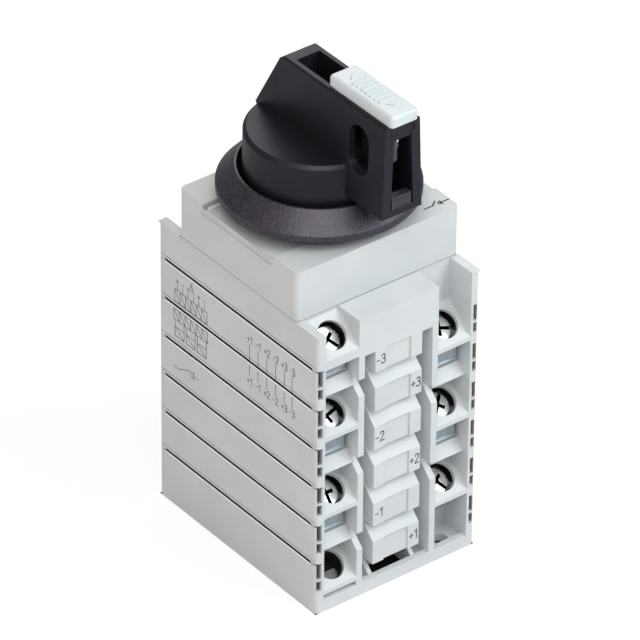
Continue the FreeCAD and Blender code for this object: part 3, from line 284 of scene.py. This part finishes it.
def plated_metal(name, colour, stain, roughness, brush, painted_recess_shade=None):
    """Plated metal with fine drawn marks and a slight cloudy tarnish."""
    material, tree, output, where = blank_material(name)
    clouds = noise(tree, where, 2.5 * MM, 3.0)
    tint = colour_between(tree, spread(tree, clouds, 0.45, 0.75, 0.0, 1.0), colour, stain)
    # Painted shade in a screw's slots and round its rim
    if painted_recess_shade:
        tint = colour_between(tree, in_screw_recess(tree, where), tint, painted_recess_shade)
    marks = noise(tree, where, brush, 2.0, 0.7)
    gloss = spread(tree, marks, 0.3, 0.7, roughness - 0.06, roughness + 0.08)
    rounded = add(tree, "ShaderNodeBevel", {"samples": 6}, Radius=0.12 * MM).outputs[0]
    bump = add(tree, "ShaderNodeBump", Strength=0.5, Distance=0.006 * MM, Height=marks,
               Normal=rounded).outputs[0]
    shader = add(tree, "ShaderNodeBsdfPrincipled", Base_Color=tint, Roughness=gloss, Normal=bump)
    shader.inputs["Metallic"].default_value = 1.0
    tree.links.new(shader.outputs[0], output.inputs[0])
    return material


def printing_ink(name, colour, worn):
    """Pad-printed ink: flat, a little uneven in strength."""
    material, tree, output, where = blank_material(name)
    patches = noise(tree, where, 0.5 * MM, 3.0, 0.7)
    tint = colour_between(tree, spread(tree, patches, 0.4, 0.7, 0.0, 1.0), colour, worn)
    shader = add(tree, "ShaderNodeBsdfPrincipled", Base_Color=tint, IOR=1.5)
    shader.inputs["Roughness"].default_value = 0.55
    tree.links.new(shader.outputs[0], output.inputs[0])
    return material


# Real spark-eroded grain and drawn marks are under 0.1 mm wide, too fine to show here, so they
# are drawn three to five times as coarse.

# Light grey glass-filled polyamide, spark-eroded finish: matt, clean, cool in the light.
# The screw wells and the seams read almost black, so their walls get painted shade there,
# and the decks' top edges get a painted highlight.
housing_plastic = moulded_plastic("grey_polyamide_moulded", "#d8dadb", "#d2d5d7", 0.32 * MM,
                                  0.010 * MM, 0.50, 0.22 * MM, painted_hollow_shade="#121114")
# Black polyamide for the lever and drum: a fine even grain that greys the highlights, with
# faint painted sparkle.
lever_plastic = moulded_plastic("black_polyamide_fine_grain", "#19161c", "#151318", 0.30 * MM,
                                0.030 * MM, 0.42, 0.25 * MM, gleam=0.52, gleam_tint="#f4ecff",
                                painted_sparkle="#252329")
# The collar has the same plastic with a coarser grain; its sparkle on the cone is painted as
# light grey specks.
collar_plastic = moulded_plastic("black_polyamide_coarse_grain", "#18151b", "#131116", 0.42 * MM,
                                 0.100 * MM, 0.42, 0.25 * MM, gleam=1.0, gleam_tint="#f6eeff",
                                 painted_sparkle="#55525b")
# Pale polyoxymethylene, polished tool: smoother and whiter than the housings.
slide_plastic = moulded_plastic("white_acetal_satin", "#dce2e4", "#d7dee1", 0.6 * MM, 0.004 * MM,
                                0.36, 0.3 * MM)
# Dark phenolic of the rotors, sealed inside: matt brown-black.
rotor_plastic = moulded_plastic("dark_phenolic_pressed", "#2e2a28", "#262322", 0.3 * MM,
                                0.012 * MM, 0.42, 0.2 * MM)
# Nickel-plated steel of the screws: bright and sharp in reflection, with painted shade that
# makes them black down in the slots.
screw_steel = plated_metal("nickel_plated_screw_steel", "#e2e2e4", "#b4b4b6", 0.22, 0.4 * MM,
                           painted_recess_shade="#0b0b0c")
# The same plating, a little brighter, on the bolts, the handle's screw and the mechanism's plate.
nickel_steel = plated_metal("nickel_plated_steel", "#ecebe8", "#cfceca", 0.24, 0.4 * MM)
# Tin-plated copper of clamps and contacts: blue-grey and satin.
tinned_copper = plated_metal("tin_plated_copper", "#c9d3d8", "#b4bfc6", 0.42, 0.22 * MM)
# Oiled spring steel: darker than the plated parts.
spring_steel = plated_metal("oiled_spring_steel", "#8d8d90", "#6e6e72", 0.3, 0.15 * MM)
# Pad print: mid grey on the left side, dark grey on the numbered blocks, black on the head's top.
side_ink = printing_ink("grey_pad_print", "#6f6e6c", "#83827e")
label_ink = printing_ink("dark_grey_pad_print", "#3f4245", "#54575a")
top_ink = printing_ink("black_pad_print", "#1b1b1d", "#2c2c2e")

# Each node's finish, by the start of its name
FINISHES = {
    "base_housing": housing_plastic, "deck_housing": housing_plastic,
    "top_deck_housing": housing_plastic, "mechanism_housing": housing_plastic,
    "mechanism_plate": nickel_steel, "detent_ring": rotor_plastic, "collar": collar_plastic,
    "stack_screws": nickel_steel, "fixed_contact": tinned_copper, "wire_clamp": tinned_copper,
    "terminal_screws": screw_steel, "rotor": rotor_plastic, "moving_contact": tinned_copper,
    "drive_carrier": rotor_plastic, "snap_spring": spring_steel, "drive_spindle": rotor_plastic,
    "handle_lever": lever_plastic, "front_insert": collar_plastic, "handle_screw": nickel_steel,
    "lock_slide": slide_plastic, "slide_rail": lever_plastic, "lock_pawl": lever_plastic,
    "pawl_spring": spring_steel,
}
for name, node in nodes.items():
    for start, finish in FINISHES.items():
        if name.startswith(start):
            node.data.materials.clear()
            node.data.materials.append(finish)


# Pieces
def finished_mesh(name, bm):
    """The mesh that a bmesh has built."""
    mesh = bpy.data.meshes.new(name)
    bm.to_mesh(mesh)
    bm.free()
    return mesh


def mesh_object(name, mesh, material, body):
    """A piece with its finish, riding on a body."""
    piece = bpy.data.objects.new(name, mesh)
    scene.collection.objects.link(piece)
    piece.data.materials.clear()
    piece.data.materials.append(material)
    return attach(piece, body)


def block(bm, low, high):
    """A box between two corners."""
    low, high = Vector(low), Vector(high)
    bmesh.ops.create_cube(bm, size=1, matrix=Matrix.Translation((low + high) / 2)
                          @ Matrix.Diagonal((*(high - low), 1)))


def round_edges(bm, width):
    """A small rounding on every edge."""
    bmesh.ops.bevel(bm, geom=bm.edges[:], offset=width, affect="EDGES", segments=2, profile=0.5,
                    material=-1)


# Prints. Each stands this far proud of its surface.
INK = 0.012 * MM


def facing(origin, across, up):
    """A matrix whose X runs across, Y runs up and Z points out of the surface."""
    across, up = Vector(across).normalized(), Vector(up).normalized()
    turn = Matrix((across, up, across.cross(up))).transposed().to_4x4()
    return Matrix.Translation(Vector(origin)) @ turn


def stroke(bm, start, end, width):
    """A thin printed line between two points of the print's own plane."""
    start, end = Vector(start), Vector(end)
    along = end - start
    centre = (start + end) / 2
    turn = Matrix.Rotation(math.atan2(along.y, along.x), 4, "Z")
    size = Matrix.Diagonal((along.length + width, width, 2 * INK, 1))
    bmesh.ops.create_cube(bm, size=1,
                          matrix=Matrix.Translation((centre.x, centre.y, 0)) @ turn @ size)


def ring(bm, centre, radius, width):
    """A printed circle: a flat washer spun about its centre."""
    inner, outer = radius - width / 2, radius + width / 2
    profile = [bm.verts.new((centre[0] + r, centre[1], z))
               for r, z in ((inner, -INK), (outer, -INK), (outer, INK), (inner, INK))]
    edges = [bm.edges.new((profile[i], profile[(i + 1) % 4])) for i in range(4)]
    bmesh.ops.spin(bm, geom=profile + edges, cent=(centre[0], centre[1], 0), axis=(0, 0, 1),
                   angle=math.tau, steps=28, use_merge=True)
    bmesh.ops.recalc_face_normals(bm, faces=bm.faces[:])


def printed_lines(name, draw, matrix, material):
    """A print on the stack, made of strokes that draw adds in its own plane."""
    bm = bmesh.new()
    draw(bm)
    bm.transform(matrix)
    mesh_object(name, finished_mesh(name, bm), material, "stack")


# Characters as strokes in a cell one unit high; the number after them is the cell's width
CHARACTERS = {
    "+": ([((0.0, 0.46), (0.5, 0.46)), ((0.25, 0.21), (0.25, 0.71))], 0.5),
    "-": ([((0.0, 0.46), (0.42, 0.46))], 0.42),
    "1": ([((0.0, 0.74), (0.32, 1.0), (0.32, 0.0))], 0.32),
    "2": ([((0.02, 0.79), (0.08, 0.93), (0.2, 1.0), (0.36, 1.0), (0.49, 0.93), (0.54, 0.8),
            (0.52, 0.66), (0.44, 0.53), (0.0, 0.0), (0.56, 0.0))], 0.56),
    "3": ([((0.03, 0.87), (0.13, 0.97), (0.27, 1.0), (0.42, 0.97), (0.52, 0.86), (0.52, 0.68),
            (0.42, 0.57), (0.22, 0.54)),
           ((0.22, 0.54), (0.44, 0.5), (0.56, 0.38), (0.56, 0.17), (0.44, 0.04), (0.27, 0.0),
            (0.1, 0.03), (0.0, 0.15))], 0.56),
    "6": ([((0.45, 1.0), (0.2, 0.74), (0.04, 0.44), (0.04, 0.2), (0.15, 0.04), (0.35, 0.0),
            (0.52, 0.1), (0.56, 0.28), (0.48, 0.45), (0.3, 0.52), (0.1, 0.42))], 0.56),
}
CHARACTER_GAP = 0.26
CHARACTER_WIDTH = 0.78


def number_strokes(bm, words, height, width, centre=(0, 0)):
    """A signed number, centred on a point of the print's own plane. Sizes are in millimetres."""
    wide = CHARACTER_WIDTH * height
    total = sum(CHARACTERS[mark][1] for mark in words) + CHARACTER_GAP * (len(words) - 1)
    left = centre[0] - total * wide / 2
    for mark in words:
        runs, cell = CHARACTERS[mark]
        for run in runs:
            points = [((left + x * wide) * MM, (centre[1] + (y - 0.5) * height) * MM)
                      for x, y in run]
            for start, end in zip(points, points[1:]):
                stroke(bm, start, end, width * MM)
        left += (cell + CHARACTER_GAP) * wide


# Pole numbers from the top down, their place on the label blocks, and their size in millimetres
POLES = ("-3", "+3", "-2", "+2", "-1", "+1")
LABEL_SIDE = 5.5 * MM
LABEL_DROP = 3.6 * MM
LABEL_HEIGHT, LABEL_LINE = 2.6, 0.3


def pole_numbers():
    """A number on each label block, front and back, with the minus poles left of the middle."""
    for step, words in enumerate(POLES):
        side = -1 if words[0] == "-" else 1
        height = DECK_TOP - LABEL_DROP - step * DECK_PITCH
        for turn, mark in ((1, "front"), (-1, "back")):
            spot = facing((turn * side * LABEL_SIDE, turn * FRONT, height), (turn, 0, 0),
                          (0, 0, 1))
            printed_lines(f"pole_number_{step + 1}_{mark}",
                          lambda bm: number_strokes(bm, words, LABEL_HEIGHT, LABEL_LINE), spot,
                          label_ink)


def disconnector(bm, length, width):
    """The common symbol: a lead, an open blade, and a terminal with its ring and bar."""
    half, hinge, bar = 0.5 * length, -0.16 * length, 0.19 * length
    stroke(bm, (-half, 0), (hinge, 0), width)
    stroke(bm, (hinge, 0), (0.06 * length, 0.17 * length), width)
    ring(bm, (0.12 * length, 0), 0.05 * length, width * 0.8)
    stroke(bm, (bar, -0.09 * length), (bar, 0.09 * length), width)
    stroke(bm, (bar, 0), (half, 0), width)


def top_symbol():
    """The symbol on the head's top, beside the collar at the front right corner."""
    spot = facing((20.8 * MM, -20.0 * MM, head_high.z), (1, 0, 0), (0, 1, 0))
    printed_lines("disconnector_symbol_top", lambda bm: disconnector(bm, 7.5 * MM, 0.42 * MM),
                  spot, top_ink)


# Grey prints of the left side, in millimetres and drawn as seen from there: across runs towards
# the front, up is Z
SIDE_LINE = 0.24
# The pole links: where each stands, the ends of its upper and lower run, and its numbers' heights
LINK_PLACES = (4.95, 8.4, 12.0, 15.5, 19.0, 22.1)
LINK_RUNS = ((66.4, 62.0), (60.4, 57.1))
LINK_NUMBERS = (68.0, 55.6)
# The contact diagram: left, right, top and foot of each row of cells, then the leads over them
CELL_ROWS = ((-25.7, -12.4, 66.3, 62.8), (-26.1, -12.2, 60.4, 57.2))
CELLS = 6
LEAD_START, LEAD_STEP = -24.6, 2.22
LEAD_FOOT, LEAD_TOP, SIGN_HEIGHT, SIGN_HALF = 66.3, 68.0, 69.0, 0.5
# The two-pole switches under the cells
SWITCH_START, SWITCH_STEP, SWITCH_WIDTH = -25.6, 4.6, 3.7
SWITCH_TOP, SWITCH_MIDDLE, SWITCH_FOOT = 57.2, 55.0, 52.3


def side_stroke(bm, start, end):
    """One line of the side's prints."""
    stroke(bm, (start[0] * MM, start[1] * MM), (end[0] * MM, end[1] * MM), SIDE_LINE * MM)


def pole_links(bm):
    """Six links from one row of pole numbers to the other, broken at the seam."""
    for number, across in enumerate(LINK_PLACES):
        for top, foot in LINK_RUNS:
            side_stroke(bm, (across, top), (across, foot))
        words = f"{'+-'[number % 2]}{number // 2 + 1}"
        for height in LINK_NUMBERS:
            number_strokes(bm, words, 2.1, SIDE_LINE, (across, height))


def contact_diagram(bm):
    """Two rows of contact cells with their leads, and three two-pole switches under them."""
    for left, right, top, foot in CELL_ROWS:
        side_stroke(bm, (left, top), (right, top))
        side_stroke(bm, (left, foot), (right, foot))
        cell = (right - left) / CELLS
        for number in range(CELLS + 1):
            across = left + number * cell
            side_stroke(bm, (across, top), (across, foot))
            if number < CELLS:
                side_stroke(bm, (across, top), (across + cell, foot))
    for number in range(CELLS):
        across = LEAD_START + LEAD_STEP * number
        side_stroke(bm, (across, LEAD_TOP), (across, LEAD_FOOT))
        side_stroke(bm, (across - SIGN_HALF, SIGN_HEIGHT), (across + SIGN_HALF, SIGN_HEIGHT))
        if number % 2 == 0:
            side_stroke(bm, (across, SIGN_HEIGHT + SIGN_HALF), (across, SIGN_HEIGHT - SIGN_HALF))
    for number in range(CELLS // 2):
        left = SWITCH_START + SWITCH_STEP * number
        right = left + SWITCH_WIDTH
        side_stroke(bm, (left, SWITCH_TOP), (left, SWITCH_FOOT))
        side_stroke(bm, (right, SWITCH_TOP), (right, SWITCH_FOOT))
        side_stroke(bm, (left, SWITCH_MIDDLE), (right, SWITCH_MIDDLE))
        side_stroke(bm, (left, SWITCH_FOOT), (right, SWITCH_FOOT))
        side_stroke(bm, (left, SWITCH_MIDDLE), (right, SWITCH_FOOT))
    number_strokes(bm, str(CELLS), 2.6, SIDE_LINE, (-18.7, 70.6))


def side_disconnector(bm):
    """The same symbol as on the top, larger and with its blade well open."""
    side_stroke(bm, (-26.4, 42.9), (-24.5, 42.7))
    side_stroke(bm, (-24.5, 42.7), (-19.4, 44.9))
    ring(bm, (-18.7 * MM, 44.0 * MM), 0.75 * MM, SIDE_LINE * MM)
    side_stroke(bm, (-17.9, 45.3), (-17.9, 42.6))
    side_stroke(bm, (-17.9, 44.0), (-15.8, 44.0))


def left_prints():
    """The three prints of the left side."""
    spot = facing((LEFT, 0, 0), (0, -1, 0), (0, 0, 1))
    for name, draw in (("pole_links", pole_links), ("contact_diagram", contact_diagram),
                       ("disconnector_symbol_side", side_disconnector)):
        printed_lines(f"{name}_left", draw, spot, side_ink)


# Small solid pieces

# The rib's gap to the head's sides, its back and front edge before the channel's back, and its
# top and foot below the head's top
RIB_INSET, RIB_REACH, RIB_DEPTHS = 0.35 * MM, (1.55 * MM, 2.75 * MM), (0.05 * MM, 1.0 * MM)


def channel_rib():
    """A low rib across the head's top, a slot's width in front of its raised back part."""
    bm = bmesh.new()
    block(bm, (head_low.x + RIB_INSET, CHANNEL_BACK - RIB_REACH[1], head_high.z - RIB_DEPTHS[1]),
          (head_high.x - RIB_INSET, CHANNEL_BACK - RIB_REACH[0], head_high.z - RIB_DEPTHS[0]))
    round_edges(bm, 0.12 * MM)
    mesh_object("channel_rib", finished_mesh("channel_rib", bm), housing_plastic, "stack")


# A clamp lip's width and height, the drop of its top below its deck's, and its turned-in foot
LIP_WIDTH, LIP_HEIGHT, LIP_DROP, LIP_FOOT = 8.6 * MM, 4.1 * MM, 1.5 * MM, 0.6 * MM
# Distance from the shaft and thickness of the lip's plate and of its foot
LIP_PLATE, LIP_BEAD = (27.65 * MM, 0.5 * MM), (27.85 * MM, 0.9 * MM)


def clamp_lips():
    """The front lips of the wire clamps, a little way inside each wire window but the lowest."""
    for pole in range(5):
        for turn, mark in ((1, "front"), (-1, "back")):
            middle = (-turn if pole % 2 == 0 else turn) * WELL_SIDE
            top = DECK_TOP - pole * DECK_PITCH - LIP_DROP
            bm = bmesh.new()
            for (reach, thick), high in ((LIP_PLATE, top),
                                         (LIP_BEAD, top - LIP_HEIGHT + LIP_FOOT)):
                block(bm, (middle - LIP_WIDTH / 2, -turn * reach - thick / 2, top - LIP_HEIGHT),
                      (middle + LIP_WIDTH / 2, -turn * reach + thick / 2, high))
            round_edges(bm, 0.1 * MM)
            name = f"clamp_lip_{pole + 1}_{mark}"
            mesh_object(name, finished_mesh(name, bm), tinned_copper, "stack")


def return_spring():
    """The coil under the lock pawl. It shortens by the pawl's travel, so it stands on the lever."""
    spring = mesh_object("pawl_return_spring", nodes["pawl_spring"].data.copy(), spring_steel,
                         "handle")
    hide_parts("pawl_spring")
    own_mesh(spring)


# Floor, light and camera
def pale_floor():
    """A pale floor that the camera sees as white, with a painted shadow where the object stands on
    it and a painted darker tone in reflections.
    """
    bm = bmesh.new()
    bmesh.ops.create_grid(bm, x_segments=1, y_segments=1, size=4.0)
    floor = bpy.data.objects.new("floor", finished_mesh("floor", bm))
    scene.collection.objects.link(floor)
    material, tree, output, where = blank_material("pale_floor_matt")
    path = add(tree, "ShaderNodeLightPath")
    x, y = add(tree, "ShaderNodeSeparateXYZ", Vector=where).outputs[:2]
    beside = calculate(tree, "MAXIMUM",
                       calculate(tree, "GREATER_THAN", calculate(tree, "ABSOLUTE", x), -LEFT),
                       calculate(tree, "GREATER_THAN", calculate(tree, "ABSOLUTE", y), -FRONT))
    # Painted reflection tone: glossy rays see the floor a darker grey
    pale = colour_between(tree, path.outputs["Is Glossy Ray"], "#f4f4f4", "#b4b4b7")
    # Painted shadow: the floor is near black under the object
    tone = colour_between(tree, beside, "#1c1c1d", pale)
    matt = add(tree, "ShaderNodeBsdfDiffuse", Color=tone)
    glow = add(tree, "ShaderNodeEmission", Color=(1, 1, 1, 1), Strength=1.08)
    share = calculate(tree, "MULTIPLY", beside,
                      calculate(tree, "MULTIPLY", path.outputs["Is Camera Ray"], 0.8))
    mixed = add(tree, "ShaderNodeMixShader", _0=share, _1=matt.outputs[0], _2=glow.outputs[0])
    tree.links.new(mixed.outputs[0], output.inputs[0])
    floor.data.materials.append(material)


# Soft boxes that face the middle of the object: name, place, width, watts and colour
LAMP_AIM = Vector((0, 0, 0.06))
LAMPS = (
    ("overhead_box", (-0.10, -0.15, 0.95), 0.8, 1.3, (1.0, 1.0, 1.0)),
    ("viewer_box", (-0.44, -0.56, 0.84), 0.6, 3.7, (1.0, 0.985, 0.97)),
    ("right_box", (0.45, -0.72, 0.78), 0.7, 7.3, (0.89, 0.975, 1.0)),
    ("left_box", (-0.95, -0.10, 0.34), 0.7, 1.35, (1.0, 0.92, 0.83)),
    ("back_box", (0.45, 0.62, 0.62), 0.8, 2.6, (1.0, 1.0, 1.0)),
)


def soft_light():
    """A faint warm world and the soft boxes, the strongest in front on the right."""
    world = bpy.data.worlds.new("studio")
    scene.world = world
    world.use_nodes = True
    background = world.node_tree.nodes["Background"]
    background.inputs["Color"].default_value = (1.0, 0.975, 0.965, 1)
    background.inputs["Strength"].default_value = 0.2
    for name, spot, width, watts, colour in LAMPS:
        lamp = bpy.data.lights.new(name, "AREA")
        lamp.shape = "SQUARE"
        lamp.size = width
        lamp.energy = watts
        lamp.color = colour
        holder = bpy.data.objects.new(name, lamp)
        holder.location = spot
        holder.rotation_euler = (LAMP_AIM - Vector(spot)).to_track_quat("-Z", "Y").to_euler()
        scene.collection.objects.link(holder)


def camera():
    """The photograph's own view, from a fit to the housing's corners."""
    yaw, rise, roll = math.radians(37.92), math.radians(34.73), math.radians(0.55)
    distance, aim = 1.836, Vector((0, 0, 0.0611))
    forward = -Vector((-math.sin(yaw) * math.cos(rise), -math.cos(yaw) * math.cos(rise),
                       math.sin(rise)))
    level = forward.cross(Vector((0, 0, 1))).normalized()
    upright = level.cross(forward)
    right = math.cos(roll) * level + math.sin(roll) * upright
    top = -math.sin(roll) * level + math.cos(roll) * upright
    lens = bpy.data.cameras.new("photograph_view")
    lens.sensor_width = 36
    lens.lens = 417.3
    lens.shift_x = 0.0033
    lens.shift_y = -0.0023
    lens.clip_end = 20
    holder = bpy.data.objects.new("photograph_view", lens)
    turn = Matrix((right, top, -forward)).transposed().to_4x4()
    holder.matrix_world = Matrix.Translation(aim - forward * distance) @ turn
    scene.collection.objects.link(holder)
    scene.camera = holder


pole_numbers()
top_symbol()
left_prints()
channel_rib()
clamp_lips()
return_spring()
pale_floor()
soft_light()
camera()
scene.view_settings.view_transform = "Standard"
